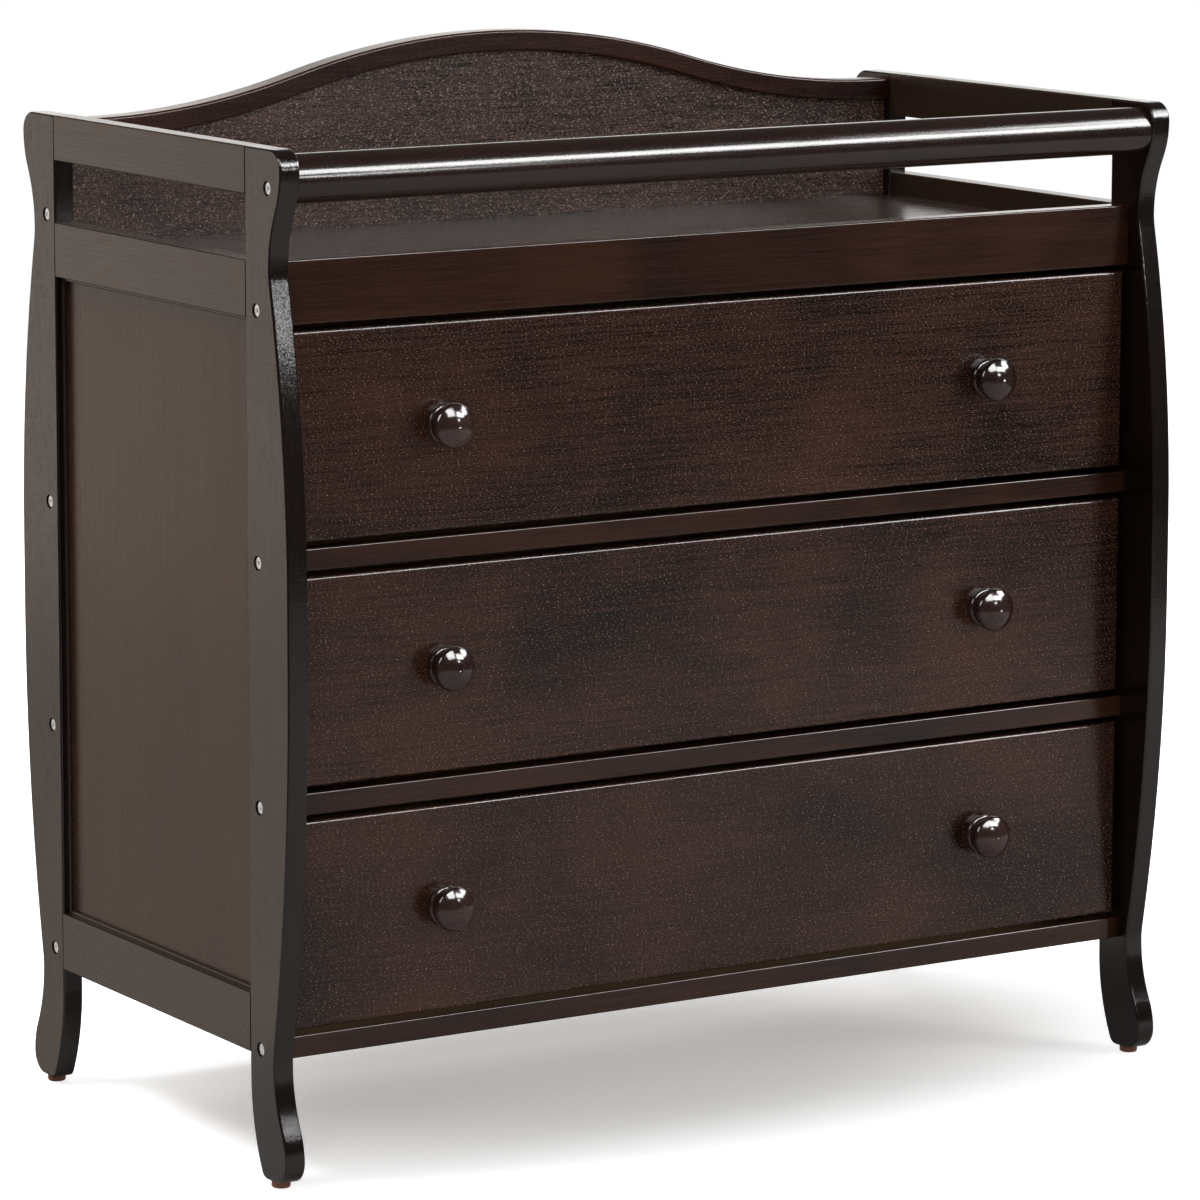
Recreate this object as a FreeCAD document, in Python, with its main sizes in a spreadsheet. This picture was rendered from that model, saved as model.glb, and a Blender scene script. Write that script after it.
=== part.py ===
"""Changing dresser: three inset drawers under a railed changing tray, between two sleigh-shaped end frames.

Millimetres. X runs to the right as seen from the front, the front faces -Y, Z is up. The origin lies on the
floor, midway between the two ends and midway between the front and rear posts.
"""

import FreeCAD, Part
import os
import re

import Sketcher
from FreeCAD import Placement, Rotation, Vector

# ---------------------------------------------------------------------------------------------------------
# Driving dimensions
# ---------------------------------------------------------------------------------------------------------

DIMENSIONS = [
    # end frames
    ("overall_width", 960.0, "outside of one end frame to the outside of the other"),
    ("post_thickness", 20.0, "thickness of the posts and end rails, along X"),
    ("post_gap", 364.0, "clear distance between the front and rear post of one end"),
    ("crown_reach", 64.0, "post width at its rounded crown"),
    ("crown_round", 18.0, "radius of the rounded top corner of the post"),
    ("neck_reach", 43.0, "post width at the neck beside the tray"),
    ("neck_drop", 7.0, "top of the tray rails down to that neck"),
    ("belly_reach", 73.5, "post width at the belly beside the drawers"),
    ("belly_top", 530.0, "upper end of the straight part of the belly"),
    ("belly_bottom", 450.0, "lower end of the straight part of the belly"),
    ("ankle_reach", 43.3, "post width at the ankle above the foot"),
    ("ankle_height", 112.0, "height of the ankle"),
    ("toe_reach", 64.0, "post width at the toe"),
    ("toe_round", 20.0, "radius of the rounded toe"),
    ("heel_reach", 22.0, "how far the heel curve cuts into the foot"),
    ("heel_height", 95.0, "where the heel curve leaves the straight inner edge"),
    ("heel_round", 10.0, "rounding where the heel curve meets the sole"),
    ("crown_share", 0.4, "part of the crown-to-neck curve that belongs to the crown arc"),
    ("neck_share", 0.045, "part of the neck-to-belly curve that belongs to the neck arc"),
    ("belly_share", 0.965, "part of the belly-to-ankle curve that belongs to the belly arc"),
    ("ankle_share", 0.68, "part of the ankle-to-toe curve that belongs to the ankle arc"),
    ("post_edge_round", 2.0, "rounding of the long sculpted edges of the posts"),
    ("rail_edge_round", 1.5, "rounding of the long edges of the rails"),
    ("top_rail_height", 42.0, "height of the end top rail"),
    ("tray_gap", 57.0, "clear gap between the end rail beside the tray and the top rail"),
    ("tray_rail_height", 51.0, "height of the end rail beside the tray"),
    ("bottom_rail_top", 170.0, "floor to the top of the end bottom rail"),
    ("bottom_rail_height", 54.0, "height of the end bottom rail"),
    ("bead_setback", 6.0, "outer face of the frame to the bead"),
    ("bead_depth", 3.5, "depth of the bead, down to the panel"),
    ("bead_width", 3.5, "width of the bead round the panel"),
    ("bead_round", 1.5, "rounding of the bead's free edge"),
    ("panel_thickness", 5.0, "thickness of the recessed end panel"),
    # glides under the feet
    ("glide_height", 6.0, "thickness of the glide under each foot"),
    ("glide_diameter", 17.0, "diameter of the glide"),
    ("glide_edge", 2.0, "rounding at the bottom of the glide"),
    ("glide_pin_diameter", 3.0, "nail of the glide"),
    ("glide_pin_length", 12.0, "length of the nail above the glide"),
    ("glide_pin_clearance", 0.05, "radial clearance of the nail in the foot"),
    ("glide_seat", 37.0, "inner edge of the post to the middle of the glide"),
    # front
    ("front_plane", 210.0, "middle of the footprint to the faces of the drawers and front rails"),
    ("front_rail_thickness", 18.0, "thickness of the front rails, along Y"),
    ("front_bottom_depth", 60.0, "depth of the rail below the bottom drawer, which is laid flat"),
    ("front_rail_lift", 112.0, "floor to the lower edge of the front bottom rail"),
    ("tray_front_rail_height", 57.0, "height of the rail above the top drawer"),
    ("divider_height", 20.0, "height of the rails between the drawers and below them"),
    ("drawer_front_height", 187.0, "height of each drawer front"),
    ("drawer_gap", 5.5, "gap above and below each drawer front"),
    ("guard_diameter", 44.0, "diameter of the round guard rail"),
    ("guard_reach", 40.0, "inner edge of the front posts to the axis of the guard rail"),
    ("guard_drop", 27.0, "top of the posts down to the axis of the guard rail"),
    # back
    ("back_reach", 11.0, "inner edge of the rear posts to the face of the upper back panel"),
    ("upper_back_thickness", 14.0, "thickness of the upper back panel"),
    ("upper_back_drop", 43.0, "top of the tray rails down to the lower edge of the upper back panel"),
    ("lower_back_thickness", 3.0, "thickness of the thin lower back panel"),
    ("back_lap", 25.0, "how far the lower back panel laps over the upper one"),
    ("crest_overhang", 10.0, "how far the crest rail stands in front of the upper back panel"),
    ("crest_depth", 26.0, "depth of the crest rail, along Y"),
    ("crest_height", 20.0, "height of the crest rail, measured upright"),
    ("crest_drop", 5.0, "top of the posts down to the top of the crest rail at its ends"),
    ("crest_rise", 65.0, "rise of the arch at the middle"),
    ("crest_flat", 20.0, "level stretch at each end of the arch"),
    ("crest_edge_round", 2.5, "rounding of the long edges of the crest rail"),
    ("stretcher_height", 40.0, "height of the rear stretchers"),
    ("stretcher_thickness", 18.0, "thickness of the rear stretchers"),
    ("upper_stretcher_lift", 2.0, "upper divider to the upper rear stretcher, middle to middle"),
    ("middle_stretcher_lift", 8.0, "lower divider to the middle rear stretcher, middle to middle"),
    ("lower_stretcher_lift", 12.0, "front bottom rail to the lower rear stretcher, middle to middle"),
    # tray
    ("tray_depth", 23.0, "top of the tray rails to the tray floor"),
    ("tray_floor_thickness", 12.0, "thickness of the tray floor"),
    # drawers
    ("drawer_side_gap", 4.5, "gap between a drawer front and the post, each side"),
    ("drawer_front_thickness", 18.0, "thickness of a drawer front"),
    ("drawer_front_round", 3.0, "rounding round the face of a drawer front"),
    ("slide_space", 12.5, "space for the slide between the drawer box and the post"),
    ("drawer_box_lift", 20.0, "lower edge of the front to the lower edge of the box"),
    ("drawer_box_height", 140.0, "height of the drawer box"),
    ("drawer_box_length", 350.0, "length of the drawer box behind the front"),
    ("drawer_board", 12.0, "thickness of the sides and back of the box"),
    ("drawer_bottom_thickness", 4.8, "thickness of the drawer bottom"),
    ("drawer_bottom_lift", 12.0, "lower edge of the box to the underside of the bottom"),
    ("groove_depth", 5.0, "how far the bottom enters the sides and front"),
    ("groove_clearance", 0.2, "play of the bottom in its groove"),
    # knobs
    ("knob_spread", 592.0, "distance between the two knobs of a drawer"),
    ("knob_height", 95.5, "lower edge of the drawer front to the knob axis"),
    ("knob_diameter", 41.0, "diameter of the knob head"),
    ("knob_projection", 29.5, "drawer front to the top of the knob"),
    ("knob_rim_height", 18.5, "drawer front to the widest part of the head"),
    ("knob_shoulder", 5.5, "radius of the shoulder between the widest part and the dome"),
    ("knob_foot_diameter", 37.5, "diameter of the ring at the foot of the knob"),
    ("knob_foot_height", 7.5, "thickness of that ring"),
    ("knob_foot_round", 3.0, "rounding of that ring"),
    ("knob_neck_diameter", 22.0, "diameter of the neck of the knob"),
    ("knob_bore_depth", 13.0, "depth of the threaded hole in the knob"),
    ("knob_screw_diameter", 4.0, "thread of the knob screw"),
    ("knob_screw_length", 28.0, "length of the knob screw below its head"),
    ("knob_screw_head_diameter", 8.5, "head of the knob screw"),
    ("knob_screw_head_height", 2.6, "height of that head"),
    # bolts of the frame
    ("bolt_diameter", 6.0, "thread of the frame bolts"),
    ("bolt_length", 45.0, "length of a frame bolt below its head"),
    ("bolt_head_diameter", 10.5, "head of a frame bolt"),
    ("bolt_head_height", 2.5, "height of that head"),
    ("bolt_socket_width", 4.0, "hexagon socket in the head, across its flats"),
    ("bolt_socket_depth", 2.0, "depth of the hexagon socket"),
    ("counterbore_diameter", 13.0, "hole for the bolt head in the post"),
    ("counterbore_depth", 4.0, "depth of that hole"),
    ("bolt_hole_clearance", 0.25, "radial clearance of the bolt in the post and rail"),
    ("thread_clearance", 0.05, "radial clearance where a screw or bolt is threaded in"),
    ("nut_diameter", 10.0, "diameter of the barrel nuts"),
    ("nut_length", 11.0, "length of the barrel nuts"),
    ("nut_setback", 22.0, "end of the rail to the middle of the barrel nut"),
    ("nut_clearance", 0.1, "clearance of the barrel nut in its hole"),
    ("bore_spare", 1.0, "free space beyond the end of a bolt, nail or pin"),
    ("guard_bolt_drop", 7.0, "axis of the guard rail down to its bolt"),
    ("tray_bolt_drop", 43.0, "top of the tray rails down to the tray rail bolt"),
    ("back_bolt_lift", 6.0, "top of the tray rails up to the bolt of the upper back panel"),
    # slides
    ("slide_sheet", 1.2, "sheet thickness of the slides"),
    ("channel_height", 18.0, "clear height inside the fixed channel"),
    ("channel_play", 0.9, "fixed channel to the moving member, along X"),
    ("channel_start", 2.0, "back of the drawer front to the fixed channel"),
    ("channel_length", 390.0, "length of the fixed channel"),
    ("runner_height", 12.5, "underside of the moving flange above the channel floor"),
    ("runner_lap", 10.0, "width of the flange under the drawer side"),
    ("roller_width", 6.0, "width of a roller"),
    ("roller_play", 0.3, "roller to the sheet that it runs on"),
    ("roller_pin_diameter", 5.0, "pin of a roller"),
    ("roller_pin_clearance", 0.05, "radial clearance of a roller on its pin"),
    ("roller_side_play", 0.5, "roller to the sheet that carries its pin"),
    ("roller_relief", 3.0, "free space between a roller and the end of a flange"),
    ("fixed_roller_reach", 20.0, "front end of the channel to the fixed roller"),
    ("moving_roller_reach", 10.0, "rear end of the drawer box to the moving roller"),
]

# Planes and levels that follow from the dimensions
PLACES = {
    "half_gap": "(post_gap / 2)",
    "outer_x": "(overall_width / 2)",
    "inner_x": "(overall_width / 2 - post_thickness)",
    "inner_width": "(overall_width - 2 * post_thickness)",
    "drawer_pitch": "(drawer_front_height + divider_height + 2 * drawer_gap)",
    "tray_front_rail_bottom": "(front_rail_lift + 3 * drawer_pitch)",
    "tray_top": "(tray_front_rail_bottom + tray_front_rail_height)",
    "top_rail_bottom": "(tray_top + tray_gap)",
    "post_height": "(top_rail_bottom + top_rail_height)",
    "neck_height": "(tray_top - neck_drop)",
    "tray_rail_bottom": "(tray_top - tray_rail_height)",
    "bottom_rail_bottom": "(bottom_rail_top - bottom_rail_height)",
    "toe_height": "(glide_height + toe_round)",
    "front_y": "(0 - front_plane)",
    "front_back_y": "(front_rail_thickness - front_plane)",
    "front_bolt_y": "(front_rail_thickness / 2 - front_plane)",
    "front_bolt_reach": "(front_plane - front_rail_thickness / 2 - half_gap)",
    "divider_middle": "(front_rail_lift + divider_height / 2)",
    "tray_bolt_height": "(tray_top - tray_bolt_drop)",
    "guard_y": "(0 - half_gap - guard_reach)",
    "guard_height": "(post_height - guard_drop)",
    "guard_bolt_height": "(guard_height - guard_bolt_drop)",
    "back_y": "(half_gap + back_reach)",
    "back_bolt_reach": "(back_reach + upper_back_thickness / 2)",
    "back_bolt_y": "(half_gap + back_bolt_reach)",
    "back_bolt_height": "(tray_top + back_bolt_lift)",
    "stretcher_y": "(back_y + upper_back_thickness - stretcher_thickness)",
    "stretcher_upper": "(divider_middle + 2 * drawer_pitch + upper_stretcher_lift)",
    "stretcher_middle": "(divider_middle + drawer_pitch + middle_stretcher_lift)",
    "stretcher_lower": "(divider_middle + lower_stretcher_lift)",
    "upper_back_bottom": "(tray_top - upper_back_drop)",
    "lower_back_y": "(back_y + upper_back_thickness)",
    "lower_back_top": "(upper_back_bottom + back_lap)",
    "lower_back_bottom": "(stretcher_lower - stretcher_height / 2)",
    "arch_run": "(inner_width / 2 - crest_flat)",
    "arch_radius": "((arch_run ^ 2 + crest_rise ^ 2) / (4 * crest_rise))",
    "crest_end_bottom": "(post_height - crest_drop - crest_height)",
    "tray_floor_top": "(tray_top - tray_depth)",
    "drawer_front_width": "(inner_width - 2 * drawer_side_gap)",
    "drawer_half_width": "(inner_x - slide_space)",
    "drawer_inner_half": "(drawer_half_width - drawer_board)",
    "drawer_front_back_y": "(drawer_front_thickness - front_plane)",
    "drawer_rear_y": "(drawer_front_back_y + drawer_box_length)",
    "bottom_slot": "(drawer_bottom_thickness + groove_clearance)",
    "knob_radius": "(knob_diameter / 2)",
    "dome_rise": "(knob_projection - knob_rim_height)",
    "crown_flat": "(knob_radius - knob_shoulder)",
    "dome_drop": "(dome_rise - knob_shoulder)",
    "dome_radius": "((crown_flat ^ 2 + dome_rise ^ 2 - knob_shoulder ^ 2) / (2 * dome_drop))",
    "roller_radius": "(channel_height / 2 - roller_play)",
    "flange_width": "(roller_width + roller_side_play + bore_spare)",
    "channel_y": "(drawer_front_back_y + channel_start)",
    "channel_inner": "(inner_x - slide_space + slide_sheet + channel_play)",
    "fixed_roller_y": "(channel_y + fixed_roller_reach)",
    "fixed_roller_lift": "(runner_height - roller_play - roller_radius)",
    "moving_roller_y": "(drawer_rear_y - moving_roller_reach)",
}

# Each drawer's name, and its number of drawer pitches above the lowest one
DRAWERS = [("top_drawer", 2), ("middle_drawer", 1), ("bottom_drawer", 0)]

doc = FreeCAD.newDocument("changing_dresser")
sheet = doc.addObject("Spreadsheet::Sheet", "sizes")
for row, (alias, value, note) in enumerate(DIMENSIONS, start=1):
    sheet.set("A%d" % row, alias)
    sheet.set("B%d" % row, str(value))
    sheet.set("C%d" % row, note)
    sheet.setAlias("B%d" % row, alias)
doc.recompute()

ALIASES = {alias for alias, _, _ in DIMENSIONS}
WORD = re.compile(r"[a-z][a-z_]*[a-z]")


def formula(text):
    """The text with every named place written out and every dimension read from the sheet."""

    def spell(match):
        word = match.group()
        if word in PLACES:
            return formula(PLACES[word])
        return "sizes." + word if word in ALIASES else word

    return WORD.sub(spell, text)


def number(text):
    """The present value of a formula."""
    return float(sheet.evalExpression(formula(text).replace("sizes.", "")))


def bind(thing, name, text):
    thing.setExpression(name, formula(text))


def minus(first, second):
    return "(%s) - (%s)" % (first, second)


def drawer_bottom(step):
    """Lower edge of the front of the drawer that stands so many pitches above the lowest one."""
    return "(%s + divider_height + drawer_gap)" % divider_bottom(step)


def divider_bottom(step):
    """Lower edge of the rail under that drawer."""
    return "(front_rail_lift + %d * drawer_pitch)" % step


# ---------------------------------------------------------------------------------------------------------
# Ways of making a piece
# ---------------------------------------------------------------------------------------------------------

ALONG = {
    "x": Rotation(Vector(0, 1, 0), 90),
    "y": Rotation(Vector(1, 0, 0), -90),
    "z": Rotation(),
}
HALF_TURN = Rotation(Vector(0, 0, 1), 180)


class Piece:
    """A body with an origin of its own, which stands at a named place of the dresser."""

    def __init__(self, label, place, turn=None):
        self.body = doc.addObject("PartDesign::Body", label)
        self.body.Label = label
        self.place = place
        self.count = 0
        if turn:
            self.body.Placement = Placement(Vector(), turn)
        for letter, text in zip("xyz", place):
            bind(self.body, "Placement.Base." + letter, text)

    def add(self, kind, **sizes):
        self.count += 1
        feature = self.body.newObject("PartDesign::" + kind, "%s_%d" % (self.body.Name, self.count))
        for name, text in sizes.items():
            bind(feature, name, text)
        return feature

    def sketch(self, role):
        """An empty sketch on one of the body's own origin planes."""
        plane = [p for p in self.body.Origin.OriginFeatures if p.Role == role][0]
        sketch = self.body.newObject("Sketcher::SketchObject", self.body.Name + "_outline")
        sketch.AttachmentSupport = [(plane, "")]
        sketch.MapMode = "FlatFace"
        return sketch

    def pad(self, role, outline, length, away=False):
        """Extrudes a closed outline; away takes it against the normal of the plane."""
        sketch = self.sketch(role)
        draw(sketch, outline)
        feature = self.add("Pad", Length=length)
        feature.Profile = sketch
        feature.Reversed = away
        doc.recompute()
        return self

    def turn(self, role, outline):
        """Turns a closed outline once about the upright axis of its sketch."""
        sketch = self.sketch(role)
        draw(sketch, outline)
        feature = self.add("Revolution")
        feature.Profile = sketch
        feature.ReferenceAxis = (sketch, ["V_Axis"])
        feature.Angle = 360
        doc.recompute()
        return self

    def primitive(self, kind, at, along="z", **sizes):
        """Adds or takes away a simple shape whose place is given in the body's own frame."""
        feature = self.add(kind, **sizes)
        feature.Placement = Placement(Vector(), ALONG[along])
        for letter, text in zip("xyz", at):
            bind(feature, "Placement.Base." + letter, text)
        return self

    def drill(self, along, at, radius, depth):
        return self.primitive("SubtractiveCylinder", at, along, Radius=radius, Height=depth)

    def cut(self, at, length, width, height):
        return self.primitive("SubtractiveBox", at, Length=length, Width=width, Height=height)

    def round(self, radius, wanted):
        """Rounds the edges that the test picks; the test sees the edge's box in the body's frame."""
        doc.recompute()
        base = self.body.Tip
        names = []
        for index, edge in enumerate(base.Shape.Edges, start=1):
            if wanted(edge.BoundBox):
                names.append("Edge%d" % index)
        feature = self.add("Fillet", Radius=radius)
        feature.Base = (base, names)
        doc.recompute()
        return self


def draw(sketch, outline):
    """Draws a closed outline of corners (u, v) or (u, v, radius, side) and ties each one to its formula.

    A radius belongs to the stretch that ends at that corner. The side is 1 where the arc's centre lies to the
    left of the way along the outline, and -1 where it lies to the right.
    """
    corners = [Vector(number(c[0]), number(c[1]), 0) for c in outline]
    joints = []
    for index, corner in enumerate(outline):
        start, end = corners[index - 1], corners[index]
        if len(corner) == 2:
            sketch.addGeometry(Part.LineSegment(start, end))
            joints.append((1, 2))
            continue
        radius, side = number(corner[2]), corner[3]
        chord = end - start
        half = chord.Length / 2
        left = Vector(-chord.y, chord.x, 0).normalize()
        bulge = radius - max(radius**2 - half**2, 0.0) ** 0.5
        middle = start + chord / 2 - left * side * bulge
        sketch.addGeometry(Part.Arc(start, middle, end))
        joints.append((1, 2) if side > 0 else (2, 1))
    for index, corner in enumerate(outline):
        after = (index + 1) % len(outline)
        here = joints[index][1]
        sketch.addConstraint(Sketcher.Constraint("Coincident", index, here, after, joints[after][0]))
        for kind, axis, text in (("DistanceX", -2, corner[0]), ("DistanceY", -1, corner[1])):
            value = number(text)
            if abs(value) < 1e-9:
                sketch.addConstraint(Sketcher.Constraint("PointOnObject", index, here, axis))
                continue
            item = sketch.addConstraint(Sketcher.Constraint(kind, -1, 1, index, here, value))
            bind(sketch, "Constraints[%d]" % item, text)
        if len(corner) > 2:
            item = sketch.addConstraint(Sketcher.Constraint("Radius", index, number(corner[2])))
            bind(sketch, "Constraints[%d]" % item, corner[2])


def board(label, x, y, z):
    """A plain board between pairs of planes, with its origin at its low corner."""
    width, depth = minus(x[1], x[0]), minus(y[1], y[0])
    outline = [("0", "0"), (width, "0"), (width, depth), ("0", depth)]
    return Piece(label, (x[0], y[0], z[0])).pad("XY_Plane", outline, minus(z[1], z[0]))


def near(value, target):
    return abs(value - target) < 1e-3


def runs_along(box, letter):
    """True for an edge that is straight along one axis."""
    spans = {"X": box.XLength, "Y": box.YLength, "Z": box.ZLength}
    return spans.pop(letter) > 1.0 and max(spans.values()) < 1e-3


def mirrored(body):
    """The same piece on the other side of the dresser."""
    twin = doc.addObject("Part::Mirroring", body.Name + "_twin")
    twin.Source = body
    twin.Base = Vector()
    twin.Normal = Vector(1, 0, 0)
    return twin


def group(label, members):
    """Like pieces that share one node, each a solid of its own."""
    compound = doc.addObject("Part::Compound", label)
    compound.Label = label
    compound.Links = members
    return compound


def copies(label, body, spots):
    """One pattern piece, made at the origin, set out at each spot; a spot is a place and a turn."""
    doc.recompute()
    shapes = []
    for place, turn in spots:
        shape = body.Shape.copy()
        shape.Placement = Placement(Vector(*[number(text) for text in place]), turn)
        shapes.append(shape)
    feature = doc.addObject("Part::Feature", label)
    feature.Label = label
    feature.Shape = Part.Compound(shapes)
    return feature


nodes = []


def keep(thing):
    """Takes a finished piece or group into the dresser, as a node of its own."""
    nodes.append(thing.body if isinstance(thing, Piece) else thing)


# ---------------------------------------------------------------------------------------------------------
# End frames
# ---------------------------------------------------------------------------------------------------------


def sweep(start, end, share, first_side):
    """Two arcs that leave one upright tangent and arrive at another, met on the chord between them."""
    across, up = minus(end[0], start[0]), minus(end[1], start[1])
    reach = "(((%s) ^ 2 + (%s) ^ 2) / (2 * abs(%s)))" % (across, up, across)
    turn_u = "%s + %s * (%s)" % (start[0], share, across)
    turn_v = "%s + %s * (%s)" % (start[1], share, up)
    return [
        (turn_u, turn_v, "%s * %s" % (share, reach), first_side),
        (end[0], end[1], "(1 - %s) * %s" % (share, reach), -first_side),
    ]


def post_outline():
    """The sleigh outline: u runs outward from the straight inner edge, v up from the floor."""
    crown = ("crown_reach", "post_height - crown_round")
    neck = ("neck_reach", "neck_height")
    belly_top = ("belly_reach", "belly_top")
    belly_bottom = ("belly_reach", "belly_bottom")
    ankle = ("ankle_reach", "ankle_height")
    toe = ("toe_reach", "toe_height")
    heel_drop = "(heel_height - glide_height)"
    outline = [
        ("0", "heel_height", "(heel_reach ^ 2 + %s ^ 2) / (2 * heel_reach)" % heel_drop, -1),
        ("0", "post_height"),
        ("crown_reach - crown_round", "post_height"),
        crown + ("crown_round", -1),
    ]
    outline += sweep(crown, neck, "crown_share", -1)
    outline += sweep(neck, belly_top, "neck_share", 1)
    outline += [belly_bottom]
    outline += sweep(belly_bottom, ankle, "belly_share", -1)
    outline += sweep(ankle, toe, "ankle_share", 1)
    outline += [
        ("toe_reach - toe_round", "glide_height", "toe_round", -1),
        ("heel_reach", "glide_height"),
    ]
    return outline


def front_bolts():
    """Reach from the inner edge, and height, of the bolts through a front post."""
    bolts = [("guard_reach", "guard_bolt_height"), ("front_bolt_reach", "tray_bolt_height")]
    for step in (2, 1, 0):
        bolts.append(("front_bolt_reach", "%s + divider_height / 2" % divider_bottom(step)))
    return bolts


def rear_bolts():
    """Reach from the inner edge, and height, of the bolts through a rear post."""
    heights = ("back_bolt_height", "stretcher_upper", "stretcher_middle", "stretcher_lower")
    return [("back_bolt_reach", height) for height in heights]


def post(label, side, face):
    """One post. side is -1 left and 1 right, face is -1 front and 1 rear."""
    turned = face < 0
    outside_first = side * face < 0
    if turned:
        place_x = "outer_x" if side > 0 else "0 - inner_x"
    else:
        place_x = "inner_x" if side > 0 else "0 - outer_x"
    place_y = "half_gap" if face > 0 else "0 - half_gap"
    piece = Piece(label, (place_x, place_y, "0"), HALF_TURN if turned else None)
    piece.pad("YZ_Plane", post_outline(), "post_thickness")
    thickness = number("post_thickness")
    heel, sole = number("heel_reach"), number("glide_height")
    piece.round("heel_round", lambda box: near(box.YMax, heel) and near(box.ZMax, sole))

    def sculpted(box):
        on_face = box.XLength < 1e-3 and (near(box.XMin, 0) or near(box.XMin, thickness))
        return on_face and not (near(box.YMax, 0) and box.ZLength > 1)

    piece.round("post_edge_round", sculpted)
    for reach, height in front_bolts() if turned else rear_bolts():
        sunk = "0" if outside_first else "post_thickness - counterbore_depth"
        hole = "bolt_diameter / 2 + bolt_hole_clearance"
        piece.drill("x", (sunk, reach, height), "counterbore_diameter / 2", "counterbore_depth")
        piece.drill("x", ("0", reach, height), hole, "post_thickness")
    pin = "glide_pin_diameter / 2 + glide_pin_clearance"
    middle = ("post_thickness / 2", "glide_seat", "glide_height")
    piece.drill("z", middle, pin, "glide_pin_length + bore_spare")
    return piece


def end_planes(side, first, second):
    """Planes at two distances in from the outside of one end, low one first."""
    if side < 0:
        return ("%s - outer_x" % first, "%s - outer_x" % second)
    return ("outer_x - %s" % second, "outer_x - %s" % first)


def end_rail(label, side, bottom, top):
    across = ("0 - half_gap", "half_gap")
    piece = board(label, end_planes(side, "0", "post_thickness"), across, (bottom, top))
    return piece.round("rail_edge_round", lambda box: runs_along(box, "Y"))


def panel_bead(label, side):
    """Four strips round the end panel: two between the rails and two between the posts."""
    x = end_planes(side, "bead_setback", "(bead_setback + bead_depth)")
    low, high = "bottom_rail_top", "tray_rail_bottom"
    inner = ("bead_width - half_gap", "half_gap - bead_width")
    strips = [
        board(label + "_front", x, ("0 - half_gap", inner[0]), (low, high)),
        board(label + "_rear", x, (inner[1], "half_gap"), (low, high)),
        board(label + "_low", x, inner, (low, low + " + bead_width")),
        board(label + "_high", x, inner, (high + " - bead_width", high)),
    ]
    outside = number("bead_depth") if side > 0 else 0
    width = number("bead_width")
    free_edges = [("Z", "YMin", width), ("Z", "YMin", 0), ("Y", "ZMin", width), ("Y", "ZMin", 0)]
    for strip, (letter, limit, place) in zip(strips, free_edges):
        strip.round("bead_round", lambda box: runs_along(box, letter) and near(box.XMin, outside)
                    and near(getattr(box, limit), place))
    return group(label, [strip.body for strip in strips])


def end_frame(name, side):
    keep(post(name + "_front_post", side, -1))
    keep(post(name + "_rear_post", side, 1))
    keep(end_rail(name + "_top_rail", side, "top_rail_bottom", "post_height"))
    keep(end_rail(name + "_tray_rail", side, "tray_rail_bottom", "tray_top"))
    keep(end_rail(name + "_bottom_rail", side, "bottom_rail_bottom", "bottom_rail_top"))
    behind = "(bead_setback + bead_depth)"
    x = end_planes(side, behind, "(%s + panel_thickness)" % behind)
    keep(board(name + "_end_panel", x, ("0 - half_gap", "half_gap"), ("bottom_rail_top", "tray_rail_bottom")))
    keep(panel_bead(name + "_panel_bead", side))


# ---------------------------------------------------------------------------------------------------------
# Rails, back and tray between the end frames
# ---------------------------------------------------------------------------------------------------------

BETWEEN = ("0 - inner_x", "inner_x")


def bolt_bores(piece, y, z, nut_depth):
    """Both ends of a rail: a bore for the bolt, and a cross bore from the rail's back for its barrel nut."""
    radius = "bolt_diameter / 2 + bolt_hole_clearance"
    depth = "bolt_length + counterbore_depth - post_thickness + bore_spare"
    nut_from = "%s - nut_length / 2 - nut_clearance" % y
    for bore_x, nut_x in (("0", "nut_setback"), (minus("inner_width", depth), "inner_width - nut_setback")):
        piece.drill("x", (bore_x, y, z), radius, depth)
        piece.drill("y", (nut_x, nut_from, z), "nut_diameter / 2 + nut_clearance", nut_depth)
    return piece


def front_rail(label, bottom, top, bolt_height, depth="front_rail_thickness"):
    piece = board(label, BETWEEN, ("front_y", "front_y + " + depth), (bottom, top))
    piece.round("rail_edge_round", lambda box: runs_along(box, "X"))
    middle = "front_rail_thickness / 2"
    return bolt_bores(piece, middle, minus(bolt_height, bottom), depth)


def guard_rail():
    piece = Piece("guard_rail", ("0 - inner_x", "guard_y", "guard_height"))
    radius = "guard_diameter / 2"
    piece.primitive("AdditiveCylinder", ("0", "0", "0"), "x", Radius=radius, Height="inner_width")
    return bolt_bores(piece, "0", "0 - guard_bolt_drop", "guard_diameter")


def arch(start_v, way=1):
    """The arched line: level, rise, fall, level. It runs to the left, or with way -1 to the right."""
    middle = "inner_width / 2"
    high = "(%s + crest_rise)" % start_v
    turn = "(%s + crest_rise / 2)" % start_v
    ends = [("inner_width", "inner_width - crest_flat", " + "), ("0", "crest_flat", " - ")]
    (first, first_flat, first_sign), (last, last_flat, last_sign) = ends[::way]
    return [
        (first, start_v),
        (first_flat, start_v),
        (middle + first_sign + "arch_run / 2", turn, "arch_radius", -way),
        (middle, high, "arch_radius", way),
        (middle + last_sign + "arch_run / 2", turn, "arch_radius", way),
        (last_flat, start_v, "arch_radius", -way),
        (last, start_v),
    ]


def crest_rail():
    piece = Piece("crest_rail", ("0 - inner_x", "back_y - crest_overhang", "crest_end_bottom"))
    outline = arch("crest_height") + arch("0", -1)
    piece.pad("XZ_Plane", outline, "crest_depth", away=True)
    depth = number("crest_depth")

    def lengthwise(box):
        return box.YLength < 1e-3 and box.XLength > 1 and (near(box.YMin, 0) or near(box.YMin, depth))

    return piece.round("crest_edge_round", lengthwise)


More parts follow.
